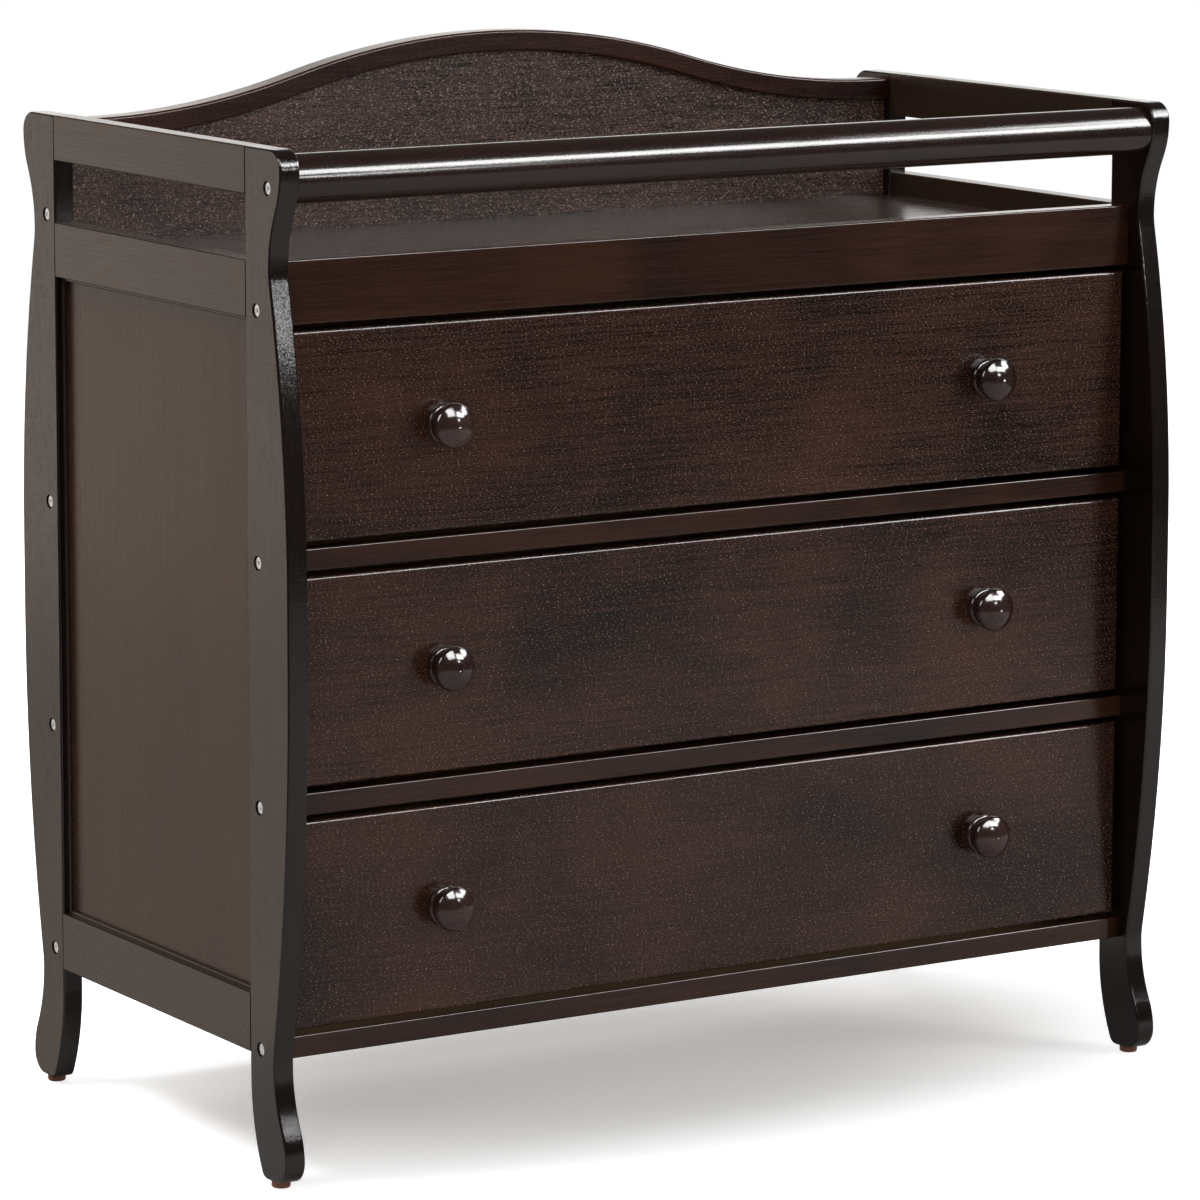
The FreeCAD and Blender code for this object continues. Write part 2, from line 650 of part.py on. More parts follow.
def upper_back_panel():
    piece = Piece("upper_back_panel", ("0 - inner_x", "back_y", "upper_back_bottom"))
    outline = [("0", "0"), ("inner_width", "0")] + arch("(crest_end_bottom - upper_back_bottom)")
    piece.pad("XZ_Plane", outline, "upper_back_thickness", away=True)
    y = "(back_bolt_reach - back_reach)"
    return bolt_bores(piece, y, "back_bolt_height - upper_back_bottom", "upper_back_thickness")


def stretcher(label, middle):
    y = ("stretcher_y", "stretcher_y + stretcher_thickness")
    z = ("%s - stretcher_height / 2" % middle, "%s + stretcher_height / 2" % middle)
    piece = board(label, BETWEEN, y, z)
    return bolt_bores(piece, "(back_bolt_y - stretcher_y)", "stretcher_height / 2", "stretcher_thickness")


def carcass():
    keep(guard_rail())
    keep(front_rail("tray_front_rail", "tray_front_rail_bottom", "tray_top", "tray_bolt_height"))
    for label, step, depth in (
        ("upper_divider_rail", 2, "front_rail_thickness"),
        ("lower_divider_rail", 1, "front_rail_thickness"),
        ("front_bottom_rail", 0, "front_bottom_depth"),
    ):
        low = divider_bottom(step)
        top, middle = "%s + divider_height" % low, "%s + divider_height / 2" % low
        keep(front_rail(label, low, top, middle, depth))
    keep(crest_rail())
    keep(upper_back_panel())
    behind = ("lower_back_y", "lower_back_y + lower_back_thickness")
    keep(board("lower_back_panel", BETWEEN, behind, ("lower_back_bottom", "lower_back_top")))
    for name in ("upper", "middle", "lower"):
        keep(stretcher("%s_rear_stretcher" % name, "stretcher_" + name))
    floor = ("tray_floor_top - tray_floor_thickness", "tray_floor_top")
    keep(board("tray_floor", BETWEEN, ("front_back_y", "back_y"), floor))


# ---------------------------------------------------------------------------------------------------------
# Bolts, barrel nuts and glides
# ---------------------------------------------------------------------------------------------------------


def bolt_pattern():
    """A bolt that points along +X, with the underside of its head at its origin."""
    piece = Piece("frame_bolt_pattern", ("0", "0", "0"))
    head, shank = "bolt_head_diameter / 2", "bolt_diameter / 2"
    piece.primitive("AdditiveCylinder", ("0 - bolt_head_height", "0", "0"), "x", Radius=head,
                    Height="bolt_head_height")
    piece.primitive("AdditiveCylinder", ("0", "0", "0"), "x", Radius=shank, Height="bolt_length")
    socket = piece.primitive("SubtractivePrism", ("0 - bolt_head_height", "0", "0"), "x",
                             Circumradius="bolt_socket_width / sqrt(3)", Height="bolt_socket_depth")
    socket.body.Tip.Polygon = 6
    return piece.body


def nut_pattern():
    """A barrel nut along Y, threaded across its middle along X."""
    piece = Piece("barrel_nut_pattern", ("0", "0", "0"))
    piece.primitive("AdditiveCylinder", ("0", "0 - nut_length / 2", "0"), "y", Radius="nut_diameter / 2",
                    Height="nut_length")
    thread = "bolt_diameter / 2 + thread_clearance"
    piece.drill("x", ("0 - nut_diameter", "0", "0"), thread, "2 * nut_diameter")
    return piece.body


def glide_pattern():
    """A glide with its flat bottom at its origin and its nail pointing up."""
    piece = Piece("glide_pattern", ("0", "0", "0"))
    rim, nail = "glide_diameter / 2", "glide_pin_diameter / 2"
    outline = [
        ("0", "0"),
        (rim + " - glide_edge", "0"),
        (rim, "glide_edge", "glide_edge", 1),
        (rim, "glide_height"),
        (nail, "glide_height"),
        (nail, "glide_height + glide_pin_length"),
        ("0", "glide_height + glide_pin_length"),
    ]
    return piece.turn("XZ_Plane", outline).body


def bolt_spots():
    """Place of each bolt on the left and on the right, in the dresser's frame."""
    spots = []
    for reach, height in front_bolts():
        spots.append(("0 - half_gap - (%s)" % reach, height))
    for reach, height in rear_bolts():
        spots.append(("half_gap + %s" % reach, height))
    return spots


def fasteners():
    seat = "outer_x - counterbore_depth"
    nut_x = "inner_x - nut_setback"
    bolts, nuts = [], []
    for y, z in bolt_spots():
        bolts.append((("0 - (%s)" % seat, y, z), Rotation()))
        bolts.append(((seat, y, z), HALF_TURN))
        nuts.append((("0 - (%s)" % nut_x, y, z), Rotation()))
        nuts.append(((nut_x, y, z), Rotation()))
    keep(copies("frame_bolts", bolt_pattern(), bolts))
    keep(copies("barrel_nuts", nut_pattern(), nuts))
    glide_x = "outer_x - post_thickness / 2"
    glide_y = "half_gap + glide_seat"
    corners = []
    for sign_x in ("0 - ", ""):
        for sign_y in ("0 - ", ""):
            corners.append(((sign_x + "(%s)" % glide_x, sign_y + "(%s)" % glide_y, "0"), Rotation()))
    keep(copies("glides", glide_pattern(), corners))


# ---------------------------------------------------------------------------------------------------------
# Drawers and their roller slides
# ---------------------------------------------------------------------------------------------------------


def drawer_front(label, bottom):
    x = ("0 - drawer_front_width / 2", "drawer_front_width / 2")
    y = ("front_y", "drawer_front_back_y")
    piece = board(label, x, y, (bottom, "%s + drawer_front_height" % bottom))
    piece.round("drawer_front_round", lambda box: near(box.YMin, 0) and box.YLength < 1e-3)
    for sign in (" - ", " + "):
        spot = ("drawer_front_width / 2" + sign + "knob_spread / 2", "0", "knob_height")
        hole = "knob_screw_diameter / 2 + bolt_hole_clearance"
        piece.drill("y", spot, hole, "drawer_front_thickness")
    groove_x = "drawer_front_width / 2 - drawer_inner_half - groove_depth"
    groove = (groove_x, "drawer_front_thickness - groove_depth", "drawer_box_lift + drawer_bottom_lift")
    return piece.cut(groove, "2 * (drawer_inner_half + groove_depth)", "groove_depth", "bottom_slot")


def drawer_side(label, side, low):
    if side < 0:
        x = ("0 - drawer_half_width", "0 - drawer_inner_half")
        groove_x = "drawer_board - groove_depth"
    else:
        x = ("drawer_inner_half", "drawer_half_width")
        groove_x = "0"
    y = ("drawer_front_back_y", "drawer_rear_y")
    piece = board(label, x, y, (low, "%s + drawer_box_height" % low))
    groove = (groove_x, "0", "drawer_bottom_lift")
    return piece.cut(groove, "groove_depth", "drawer_box_length", "bottom_slot")


def drawer_box(name, low):
    keep(drawer_side(name + "_left_side", -1, low))
    keep(drawer_side(name + "_right_side", 1, low))
    floor = "%s + drawer_bottom_lift" % low
    inside = ("0 - drawer_inner_half", "drawer_inner_half")
    rear = ("drawer_rear_y - drawer_board", "drawer_rear_y")
    rise = (floor + " + drawer_bottom_thickness", "%s + drawer_box_height" % low)
    keep(board(name + "_back", inside, rear, rise))
    play = "(groove_depth - groove_clearance)"
    x = ("0 - drawer_inner_half - " + play, "drawer_inner_half + " + play)
    y = ("drawer_front_back_y - " + play, "drawer_rear_y")
    keep(board(name + "_bottom", x, y, (floor, floor + " + drawer_bottom_thickness")))


def knob(label, height):
    """A turned knob on the left of the middle; its axis points out of the front."""
    piece = Piece(label, ("0 - knob_spread / 2", "front_y", height), Rotation(Vector(1, 0, 0), 90))
    foot, neck = "knob_foot_diameter / 2", "knob_neck_diameter / 2"
    bore = "knob_screw_diameter / 2 + thread_clearance"
    cheek = "(knob_radius - %s)" % neck
    share = "(dome_radius / (dome_radius - knob_shoulder))"
    lift = "(dome_radius - dome_rise) / (dome_radius - knob_shoulder)"
    outline = [
        (bore, "0"),
        (foot, "0"),
        (foot, "knob_foot_height - knob_foot_round"),
        (foot + " - knob_foot_round", "knob_foot_height", "knob_foot_round", 1),
        (neck, "knob_foot_height"),
        (neck, "knob_rim_height - %s" % cheek),
        ("knob_radius", "knob_rim_height", cheek, 1),
        ("crown_flat * " + share, "knob_rim_height + knob_shoulder * " + lift, "knob_shoulder", 1),
        ("0", "knob_projection", "dome_radius", 1),
        ("0", "knob_bore_depth"),
        (bore, "knob_bore_depth"),
    ]
    return piece.turn("XZ_Plane", outline).body


def knob_screw(label, height):
    """The screw behind that knob, with its head on the back of the drawer front."""
    place = ("0 - knob_spread / 2", "drawer_front_back_y", height)
    piece = Piece(label, place, Rotation(Vector(1, 0, 0), 90))
    head, shank = "knob_screw_head_diameter / 2", "knob_screw_diameter / 2"
    piece.primitive("AdditiveCylinder", ("0", "0", "0 - knob_screw_head_height"), Radius=head,
                    Height="knob_screw_head_height")
    piece.primitive("AdditiveCylinder", ("0", "0", "0"), Radius=shank, Height="knob_screw_length")
    return piece.body


def moving_member(label, low):
    """Left member fixed under and beside the drawer side: web, supporting lap and running flange."""
    length = "drawer_box_length"
    place = ("channel_play - channel_inner - flange_width", "drawer_front_back_y", low + " - slide_sheet")
    web = "flange_width"
    inner_web = "(%s + slide_sheet)" % web
    top = "(slide_sheet + runner_height + slide_sheet)"
    under = "(slide_sheet + runner_height)"
    outline = [
        (web, "0"),
        (inner_web + " + runner_lap", "0"),
        (inner_web + " + runner_lap", "slide_sheet"),
        (inner_web, "slide_sheet"),
        (inner_web, top),
        ("0", top),
        ("0", under),
        (web, under),
    ]
    piece = Piece(label, place).pad("XZ_Plane", outline, length, away=True)
    roller_y = "(drawer_box_length - moving_roller_reach)"
    free = "(roller_radius + roller_relief)"
    freed = "moving_roller_reach + %s" % free
    piece.cut(("0", "%s - %s" % (roller_y, free), under), web, freed, "slide_sheet")
    pin_z = "slide_sheet + channel_height / 2"
    pin_length = "(roller_width + 2 * roller_side_play)"
    start = "%s - %s" % (web, pin_length)
    piece.primitive("AdditiveCylinder", (start, roller_y, pin_z), "x", Radius="roller_pin_diameter / 2",
                    Height=pin_length + " + slide_sheet / 2")
    return piece.body


def fixed_member(label, low):
    """Left channel fixed to the posts, open towards the drawer, with the pin of the fixed roller."""
    wide = "(inner_x - channel_inner)"
    tall = "(channel_height + 2 * slide_sheet)"
    outline = [
        ("0", "0"),
        (wide, "0"),
        (wide, "slide_sheet"),
        ("slide_sheet", "slide_sheet"),
        ("slide_sheet", "slide_sheet + channel_height"),
        (wide, "slide_sheet + channel_height"),
        (wide, tall),
        ("0", tall),
    ]
    piece = Piece(label, ("0 - inner_x", "channel_y", low + " - slide_sheet"))
    piece.pad("XZ_Plane", outline, "channel_length", away=True)
    opened = "fixed_roller_reach + roller_radius + roller_relief"
    piece.cut(("slide_sheet", "0", "0"), wide, opened, "slide_sheet")
    pin = ("slide_sheet / 2", "fixed_roller_reach", "slide_sheet + fixed_roller_lift")
    piece.primitive("AdditiveCylinder", pin, "x", Radius="roller_pin_diameter / 2",
                    Height="slide_sheet / 2 + roller_width + 2 * roller_side_play")
    return piece.body


def roller(label, x, y, z):
    """A left roller with its bore along X; x is its outer face."""
    piece = Piece(label, (x, y, z))
    piece.primitive("AdditiveCylinder", ("0", "0", "0"), "x", Radius="roller_radius", Height="roller_width")
    bore = "roller_pin_diameter / 2 + roller_pin_clearance"
    piece.drill("x", ("0", "0", "0"), bore, "roller_width")
    return piece.body


def drawer(name, step):
    """One drawer with its slides and rollers. Returns its left channel."""
    bottom = drawer_bottom(step)
    low = "(%s + drawer_box_lift)" % bottom
    keep(drawer_front(name + "_front", bottom))
    drawer_box(name, low)
    knob_z = "%s + knob_height" % bottom
    pairs = [
        (name + "_knobs", knob(name + "_left_knob", knob_z)),
        (name + "_knob_screws", knob_screw(name + "_left_knob_screw", knob_z)),
        (name + "_slides", moving_member(name + "_left_slide", low)),
    ]
    moving_x = "0 - drawer_half_width - slide_sheet - roller_side_play - roller_width"
    moving_z = "%s + channel_height / 2" % low
    pairs.append((name + "_rollers", roller(name + "_left_roller", moving_x, "moving_roller_y", moving_z)))
    fixed_x = "slide_sheet + roller_side_play - inner_x"
    fixed_z = "%s + fixed_roller_lift" % low
    fixed = roller(name + "_left_fixed_roller", fixed_x, "fixed_roller_y", fixed_z)
    pairs.append((name + "_fixed_rollers", fixed))
    for label, body in pairs:
        keep(group(label, [body, mirrored(body)]))
    return fixed_member(name + "_left_channel", low)


def drawers():
    channels = [drawer(name, step) for name, step in DRAWERS]
    keep(group("slide_channels", channels + [mirrored(channel) for channel in channels]))


# ---------------------------------------------------------------------------------------------------------
# Building, checking and writing
# ---------------------------------------------------------------------------------------------------------


def check():
    failed = [thing.Name for thing in doc.Objects if {"Invalid", "Error"} & set(thing.State)]
    if failed:
        raise RuntimeError("failed objects: " + ", ".join(failed))
    for node in nodes:
        if node.Shape.isNull() or not node.Shape.isValid():
            raise RuntimeError("bad shape: " + node.Label)


def write():
    os.makedirs("parts", exist_ok=True)
    for node in nodes:
        node.Shape.exportStep("parts/%s.step" % node.Label)
        box = node.Shape.BoundBox
        size = (box.XLength, box.YLength, box.ZLength)
        print("%-28s %2d solids  %7.1f x %7.1f x %7.1f" % ((node.Label, len(node.Shape.Solids)) + size))
    print(len(nodes), "nodes")


end_frame("left", -1)
end_frame("right", 1)
carcass()
fasteners()
drawers()
doc.recompute()
check()
write()
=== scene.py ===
"""Looks of the changing dresser: its frame from the CAD model, with stained wood, lacquer, steel and studio light."""

from collections import namedtuple
from itertools import count
import math

import bmesh
import bpy
from mathutils import Matrix, Vector


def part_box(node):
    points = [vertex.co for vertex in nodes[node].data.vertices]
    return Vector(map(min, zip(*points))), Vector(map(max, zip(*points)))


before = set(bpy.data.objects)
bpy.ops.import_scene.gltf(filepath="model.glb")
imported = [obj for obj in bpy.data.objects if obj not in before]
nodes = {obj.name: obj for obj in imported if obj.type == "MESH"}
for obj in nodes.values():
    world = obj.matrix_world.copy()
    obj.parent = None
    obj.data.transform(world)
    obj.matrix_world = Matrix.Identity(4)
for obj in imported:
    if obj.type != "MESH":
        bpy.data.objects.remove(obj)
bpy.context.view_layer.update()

scene = bpy.context.scene

# ---------------------------------------------------------------------------------------------------------
# Camera, light and floor
# ---------------------------------------------------------------------------------------------------------


def add_camera():
    """Stands where the photograph was taken from, low and to the left of the front."""
    data = bpy.data.cameras.new("camera")
    data.lens = 170.46
    data.shift_x, data.shift_y = 0.125, -0.0833    # the photograph is cropped off its centre
    data.clip_end = 200
    camera = bpy.data.objects.new("camera", data)
    azimuth, elevation, roll = (math.radians(angle) for angle in (30.803, 8.740, -0.085))
    turn = Matrix.Rotation(-azimuth, 4, "Z") @ Matrix.Rotation(math.pi / 2 - elevation, 4, "X")
    camera.matrix_world = (
        Matrix.Translation((-2.8415, -4.4906, 1.3660)) @ turn @ Matrix.Rotation(roll, 4, "Z")
    )
    scene.collection.objects.link(camera)
    scene.camera = camera


def add_panel(name, place, target, size, radiance, tint=(1, 1, 1), gloss=True, body=True):
    """A soft box of that brightness, turned towards a target. It can light only gloss, or only body colour."""
    data = bpy.data.lights.new(name, "AREA")
    data.shape = "RECTANGLE"
    data.size, data.size_y = size
    data.energy = radiance * size[0] * size[1] * math.pi
    data.color = tint
    light = bpy.data.objects.new(name, data)
    light.location = place
    light.rotation_euler = (Vector(target) - Vector(place)).to_track_quat("-Z", "Y").to_euler()
    light.visible_camera = False
    light.visible_glossy, light.visible_diffuse = gloss, body
    scene.collection.objects.link(light)


def add_studio():
    """Dim surroundings, plain white where the camera sees them, and the soft boxes."""
    scene.world = bpy.data.worlds.new("studio")
    walls = Finish(scene.world, "Background")
    walls.set("Color", (1.0, 0.97, 0.94, 1))
    walls.set("Strength", 0.11)
    white = walls.node("ShaderNodeBackground", None, {"Color": (1, 1, 1, 1)})
    seen = walls.node("ShaderNodeLightPath", output="Is Camera Ray")
    dim = Field(walls, walls.shader.outputs["Background"])
    shown = walls.node("ShaderNodeMixShader", None, {0: seen, 1: dim, 2: white})
    walls.put(walls.tree.nodes["World Output"].inputs["Surface"], shown)
    # Name, place, target, width and height, brightness, tint
    add_panel("overhead", (-3.4, 1.2, 6.8), (0, 0, 0), (3, 3), 15, gloss=False)
    add_panel("left_softbox", (-2.4, -3.4, 2.2), (0, 0, 0.5), (2.2, 2.2), 2.6, gloss=False)
    add_panel("right_softbox", (2.2, -2.3, 1.0), (0, -0.2, 0.6), (1.2, 1.2), 7, gloss=False)
    add_panel("back_softbox", (0.6, 3.4, 2.2), (0, 0, 0.6), (2.4, 1.6), 4, gloss=False)
    add_panel("key_gloss", (1.7, -2.4, 2.28), (1.7, -0.2, 0.8), (1.95, 0.85), 24, body=False)
    add_panel("knob_gloss", (-0.2, -4.0, 4.2), (0, -0.3, 0.6), (2.4, 2.2), 18, body=False)
    add_panel("post_gloss", (0.85, -2.45, 1.32), (0.85, -0.2, 0.8), (0.4, 0.24), 22, body=False)
    add_panel("right_gloss", (2.3, -1.3, 2.3), (0, -0.2, 0.6), (1.1, 1.0), 20, body=False)
    add_panel("left_gloss", (-2.9, -0.6, 2.4), (0, -0.3, 0.6), (0.8, 1.4), 14, body=False)
    add_panel("side_card", (-2.5, 2.6, -0.1), (-0.5, 0, 0.4), (2.4, 3.2), 0.73, (1.0, 0.83, 0.71), body=False)
    add_panel("side_card_bright", (-1.6, 2.9, 0.8), (-0.5, 0, 0.6), (0.9, 1.7), 0.5, (1.0, 0.87, 0.76), body=False)
    add_panel("back_card", (1.3, 2.7, 1.5), (0, 0, 0.9), (3.4, 1.0), 1.7, (1.0, 0.97, 0.94), body=False)


def add_sheet(name, half_width, middle, finish):
    """A flat square of the studio, which isn't part of the dresser."""
    shape = bmesh.new()
    bmesh.ops.create_grid(shape, x_segments=1, y_segments=1, size=half_width)
    bmesh.ops.translate(shape, verts=shape.verts, vec=middle)
    mesh = bpy.data.meshes.new(name)
    shape.to_mesh(mesh)
    shape.free()
    sheet = bpy.data.objects.new(name, mesh)
    mesh.materials.append(finish.owner)
    scene.collection.objects.link(sheet)
    return sheet


def add_floor():
    """A pale floor with a painted glow that runs out into white, and under it the sheet whose light the dresser
    catches.
    """
    finish = Finish(bpy.data.materials.new("pale_floor"))
    finish.set("Base Color", (0.9, 0.9, 0.9, 1))
    finish.set("Roughness", 0.9)
    finish.set("Specular IOR Level", 0.1)
    # The painted glow grows from under the dresser outwards: dim there, it paints shade round the cast shadow, and
    # further out the shadow fades with it
    reach = finish.node("ShaderNodeVectorMath", {"operation": "LENGTH"}, {0: finish.place((0.8, 1.4, 1))}, "Value")
    glow = finish.node("ShaderNodeMapRange", {"interpolation_type": "SMOOTHSTEP"},
                       {"Value": reach, "From Min": 0.18, "From Max": 0.75, "To Min": 0.3, "To Max": 1.1})
    finish.set("Emission Color", finish.mix(glow, (0, 0, 0, 1), (1, 1, 1, 1)))
    finish.set("Emission Strength", 1.0)
    floor = add_sheet("floor", 5.0, (0, 0, 0), finish)
    floor.visible_glossy = floor.visible_diffuse = floor.visible_shadow = False
    cloth = Finish(bpy.data.materials.new("floor_cloth"))
    cloth.set("Base Color", (0.4, 0.39, 0.38, 1))
    cloth.set("Roughness", 0.9)
    cloth.set("Emission Color", (1, 1, 1, 1))
    cloth.set("Emission Strength", 0.08)
    under = add_sheet("floor_cloth", 1.8, (0.2, -1.6, -0.001), cloth)
    under.visible_camera = under.visible_shadow = False


# ---------------------------------------------------------------------------------------------------------
# Finishes
# ---------------------------------------------------------------------------------------------------------


class Field:
    """A node's output, such as a number that changes over a surface. Sums and products of fields add Math nodes."""

    def __init__(self, finish, socket):
        self.finish, self.socket = finish, socket

    def math(self, operation, first, second=0.0, clamp=False):
        return self.finish.node(
            "ShaderNodeMath", {"operation": operation, "use_clamp": clamp}, {0: first, 1: second}
        )

    def __add__(self, other):
        return self.math("ADD", self, other)

    def __sub__(self, other):
        return self.math("SUBTRACT", self, other)

    def __rsub__(self, other):
        return self.math("SUBTRACT", other, self)

    def __mul__(self, other):
        return self.math("MULTIPLY", self, other)

    def clamped(self):
        return self.math("ADD", self, 0.0, clamp=True)

    __radd__, __rmul__ = __add__, __mul__


class Finish:
    """The nodes of one material, or of the studio's walls. They all come from node()."""

    def __init__(self, owner, shader="Principled BSDF"):
        owner.use_nodes = True
        self.owner, self.tree = owner, owner.node_tree
        self.shader = self.tree.nodes[shader]

    def put(self, socket, value):
        if isinstance(value, Field):
            self.tree.links.new(value.socket, socket)
        else:
            socket.default_value = value

    def set(self, name, value):
        self.put(self.shader.inputs[name], value)

    def node(self, kind, settings=None, sockets=None, output=0):
        made = self.tree.nodes.new(kind)
        for name, value in (settings or {}).items():
            if name == "stops":
                self.stops(made.color_ramp, value)
            else:
                setattr(made, name, value)
        for name, value in (sockets or {}).items():
            self.put(made.inputs[name], value)
        return Field(self, made.outputs[output])

    @staticmethod
    def stops(ramp, values):
        while len(ramp.elements) < len(values):
            ramp.elements.new(1.0)
        for element, (position, value) in zip(ramp.elements, values):
            element.position = position
            element.color = (value, value, value, 1)

    def mix(self, factor, first, second):
        """A colour between two others. A Mix node keeps its colour sockets at 6 and 7, and the result at 2."""
        return self.node("ShaderNodeMix", {"data_type": "RGBA"}, {0: factor, 6: first, 7: second}, 2)

    def place(self, scale=(1, 1, 1), offset=(0, 0, 0)):
        """The spot on the piece in metres, stretched and shifted."""
        spot = self.node("ShaderNodeTexCoord", output="Object")
        return self.node("ShaderNodeMapping", None, {"Vector": spot, "Scale": scale, "Location": offset})

    def noise(self, place, scale, detail=3, roughness=0.5, distortion=0.0):
        sizes = {"Vector": place, "Scale": scale, "Detail": detail, "Roughness": roughness, "Distortion": distortion}
        return self.node("ShaderNodeTexNoise", None, sizes, "Fac")

    def ramp(self, field, *stops):
        return self.node("ShaderNodeValToRGB", {"stops": stops}, {"Fac": field})

    def bump(self, height, depth, strength=1.0):
        sizes = {"Height": height, "Distance": depth, "Strength": strength}
        self.set("Normal", self.node("ShaderNodeBump", None, sizes))


def colour(red, green, blue):
    """A colour from its 0 to 255 screen values."""
    return tuple((v / 255) ** 2.2 for v in (red, green, blue)) + (1,)


SEEDS = count(1)
Stain = namedtuple("Stain", "dark light glint roughness sheen blotches streaks lines specks pores relief")


def wood(name, along, stain):
    """Stained wood with its grain along one axis: blotches, streaks, fine lines, specks, and flecks of a third
    colour, which paint highlights on most stains and darker open grain on the drawer boxes.
    """
    finish = Finish(bpy.data.materials.new(name))
    seed = next(SEEDS)
    offset = (seed * 3.71, seed * 1.93, seed * 2.57)    # each piece is cut from its own part of the noise

    def grain(share, scale, detail, distortion=0.0):
        """Noise about zero, with that share of its scale along the grain."""
        stretch = [1.0, 1.0, 1.0]
        stretch["xyz".index(along)] = share
        return finish.noise(finish.place(stretch, offset), scale, detail, 0.55, distortion) - 0.5

    # Share along the grain, waves per metre, detail, distortion
    blotch = grain(0.7, 7, 2, 0.2)
    streak = grain(0.03, 95, 3, 0.2)
    line = grain(0.02, 850, 2)
    speck = grain(0.4, 1100, 2)
    # Flecks in the third colour: a painted highlight standing in for sparkle off the grain, except on the drawer
    # boxes, where the flecks are darker open grain
    glint_and_pore_mask = finish.ramp(speck, (0.12, 0), (0.2, 1))
    tone = blotch * stain.blotches + streak * stain.streaks + line * stain.lines + speck * stain.specks + 0.5
    stained = finish.mix(tone.clamped(), stain.dark, stain.light)
    finish.set("Base Color", finish.mix(glint_and_pore_mask * stain.pores, stained, stain.glint))
    finish.set("Roughness", (line * 0.15 + speck * 0.15 + stain.roughness).clamped())
    finish.set("Specular IOR Level", stain.sheen)
    finish.bump(line * 0.7 + streak * 0.5 + speck * 0.5, 0.0001 * stain.relief)
    return finish.owner


def metal(name, tint, roughness):
    """Steel with faint clouds and upright scratches."""
    finish = Finish(bpy.data.materials.new(name))
    cloud = finish.noise(finish.place(), 300, 3)
    scratch = finish.noise(finish.place((1, 1, 0.08)), 2500, 2)
    finish.set("Metallic", 1.0)
    finish.set("Base Color", finish.mix(cloud, tint, tuple(v * 0.8 for v in tint[:3]) + (1,)))
    finish.set("Roughness", cloud * 0.12 + scratch * 0.1 + roughness)
    finish.bump(scratch, 0.00002, 0.5)
    return finish.owner


def plastic(name, tint, shade, roughness):
    """Moulded plastic or enamel with a clouded tint and a fine texture."""
    finish = Finish(bpy.data.materials.new(name))
    cloud = finish.noise(finish.place(), 90, 4)
    speck = finish.noise(finish.place(), 2200, 2)
    finish.set("Base Color", finish.mix(cloud, tint, shade))
    finish.set("Roughness", speck * 0.15 + roughness)
    finish.bump(speck, 0.00003, 0.6)
    return finish.owner
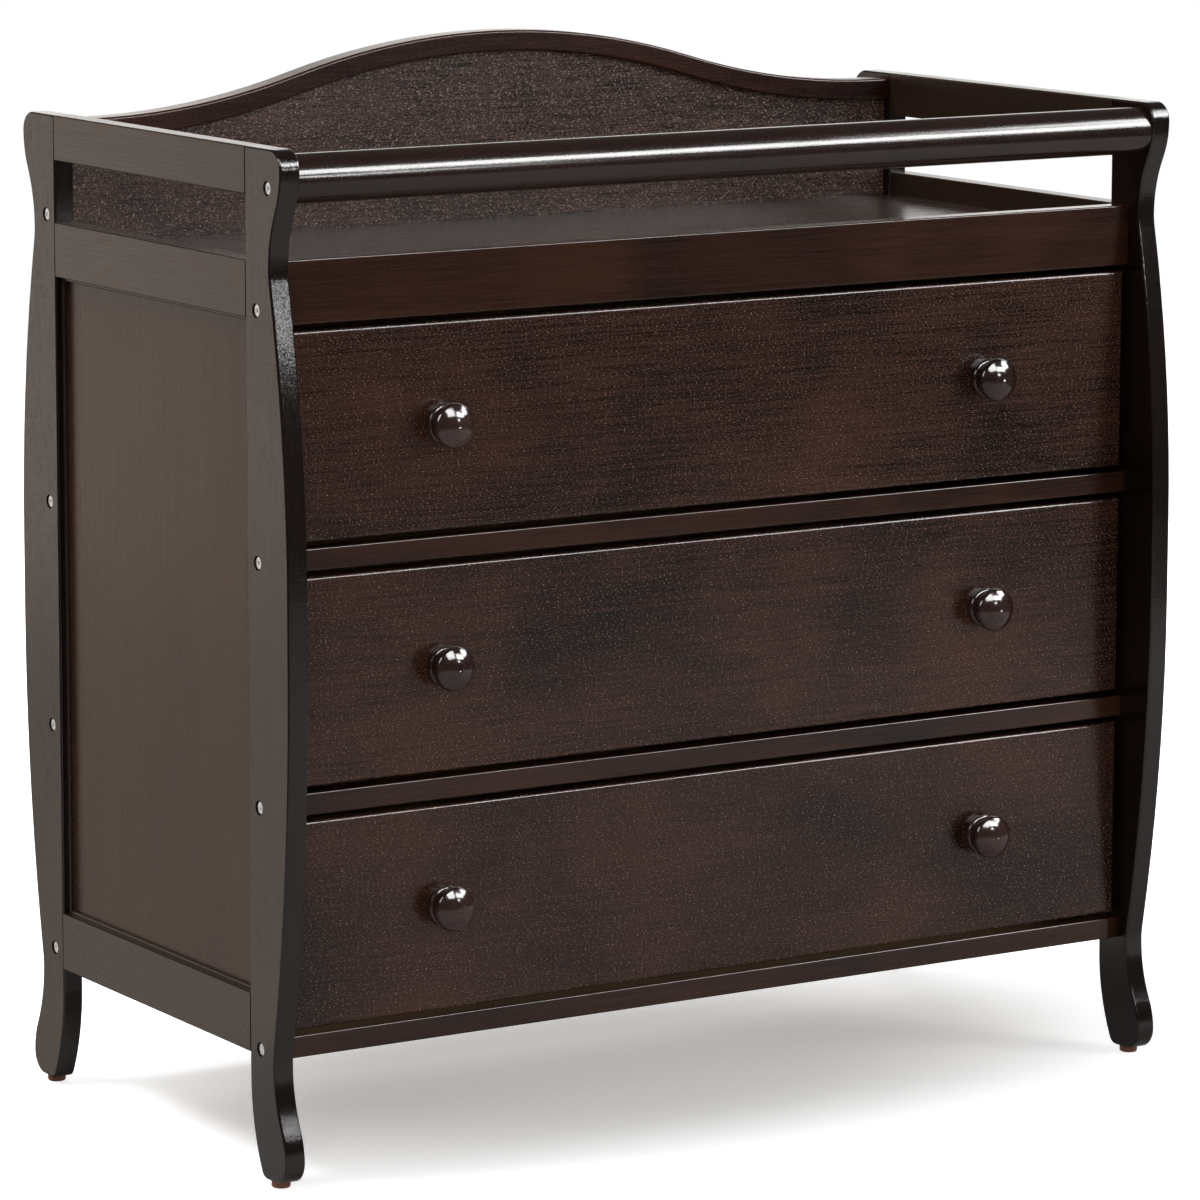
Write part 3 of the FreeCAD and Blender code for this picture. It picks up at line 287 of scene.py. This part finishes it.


# The third colour paints highlights on flecks, and darker open grain on the drawer boxes. The numbers after the
# colours: roughness and sheen; strength of blotches, streaks, lines, specks and of those flecks; relief
STAINS = {
    "drawer_front": Stain(
        colour(24, 14, 10), colour(76, 48, 37), colour(216, 182, 160), 0.2, 0.36, 1.8, 0.3, 1.4, 1.9, 0.55, 0.7),
    "front_rail": Stain(
        colour(20, 11, 8), colour(74, 45, 32), colour(140, 108, 90), 0.18, 0.36, 1.1, 0.6, 0.8, 0.4, 0.12, 0.4),
    "end_rail": Stain(
        colour(36, 26, 21), colour(50, 38, 30), colour(84, 70, 58), 0.28, 0.5, 1.0, 0.4, 0.4, 0.4, 0.08, 0.2),
    "end_panel": Stain(
        colour(40, 25, 17), colour(66, 44, 31), colour(100, 80, 66), 0.27, 0.34, 1.2, 0.6, 1.0, 1.6, 0.25, 0.8),
    "gloss": Stain(
        colour(20, 13, 11), colour(34, 24, 20), colour(56, 42, 36), 0.12, 0.5, 1.2, 0.8, 0.8, 0.6, 0.15, 2.4),
    "guard": Stain(
        colour(28, 18, 15), colour(52, 35, 28), colour(110, 90, 80), 0.17, 0.5, 1.2, 0.8, 0.8, 0.8, 0.15, 0.6),
    "knob": Stain(
        colour(40, 25, 22), colour(72, 50, 45), colour(130, 100, 90), 0.12, 0.6, 1.6, 0.8, 0.8, 1.4, 0.3, 0.4),
    "crest": Stain(
        colour(26, 11, 6), colour(74, 40, 26), colour(120, 84, 66), 0.26, 0.22, 1.6, 0.8, 0.9, 0.5, 0.12, 0.5),
    "back_veneer": Stain(
        colour(24, 14, 12), colour(108, 78, 66), colour(220, 194, 176), 0.3, 0.3, 0.9, 0.6, 2.2, 2.6, 0.95, 1.2),
    "tray": Stain(
        colour(42, 34, 31), colour(68, 57, 52), colour(90, 74, 66), 0.26, 0.5, 1.2, 0.6, 0.6, 0.8, 0.15, 0.4),
    "board": Stain(
        colour(60, 44, 36), colour(84, 64, 52), colour(110, 90, 76), 0.6, 0.4, 1.4, 0.8, 1.0, 1.0, 0.3, 1.0),
    "drawer_box": Stain(
        colour(176, 140, 104), colour(206, 172, 132), colour(150, 112, 80), 0.5, 0.4, 1.2, 1.0, 1.0, 0.8, 0.4, 1.0),
}


NODE_STAINS = {"guard_rail": "guard", "crest_rail": "crest", "upper_back_panel": "back_veneer", "tray_floor": "tray"}
SLOT_STAINS = {
    "gloss_espresso": "gloss",
    "plain_board": "board",
    "drawer_board": "drawer_box",
    "panel_veneer": "end_panel",
}


def stain_of(node, slot):
    """The stain that a wooden node wears."""
    if node in NODE_STAINS:
        return NODE_STAINS[node]
    if node.endswith("knobs"):
        return "knob"
    if slot in SLOT_STAINS:
        return SLOT_STAINS[slot]
    if node.startswith(("left_", "right_")):
        return "end_rail"
    return "drawer_front" if node.endswith("drawer_front") else "front_rail"


# Tint and roughness
METALS = {
    "bright_steel": (colour(244, 250, 255), 0.25),
    "plain_steel": (colour(200, 200, 198), 0.3),
}
# Tint, shade and roughness
PLASTICS = {
    "slide_enamel": (colour(92, 76, 66), colour(84, 68, 58), 0.35),
    "roller_nylon": (colour(226, 224, 216), colour(216, 213, 204), 0.45),
    "glide_plastic": (colour(132, 84, 66), colour(116, 70, 54), 0.42),
}


def grain_axis(node):
    """Posts and end panels have upright grain, and any other piece has it along its longer level side."""
    if "post" in node or "end_panel" in node or "bead" in node:
        return "z"
    low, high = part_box(node)
    size = high - low
    return "x" if size.x >= size.y else "y"


def finish_frame():
    """Every CAD node gets a material of its own, so that no two boards show the same grain."""
    slots = {node: thing.material_slots[0].material.name.split(".")[0] for node, thing in nodes.items()}
    for node, thing in nodes.items():
        slot = slots[node]
        if slot in METALS:
            material = metal(node + "_metal", *METALS[slot])
        elif slot in PLASTICS:
            material = plastic(node + "_plastic", *PLASTICS[slot])
        else:
            material = wood(node + "_wood", grain_axis(node), STAINS[stain_of(node, slot)])
        thing.data.materials.clear()
        thing.data.materials.append(material)


scene.view_settings.view_transform = "Standard"
add_camera()
add_studio()
add_floor()
finish_frame()
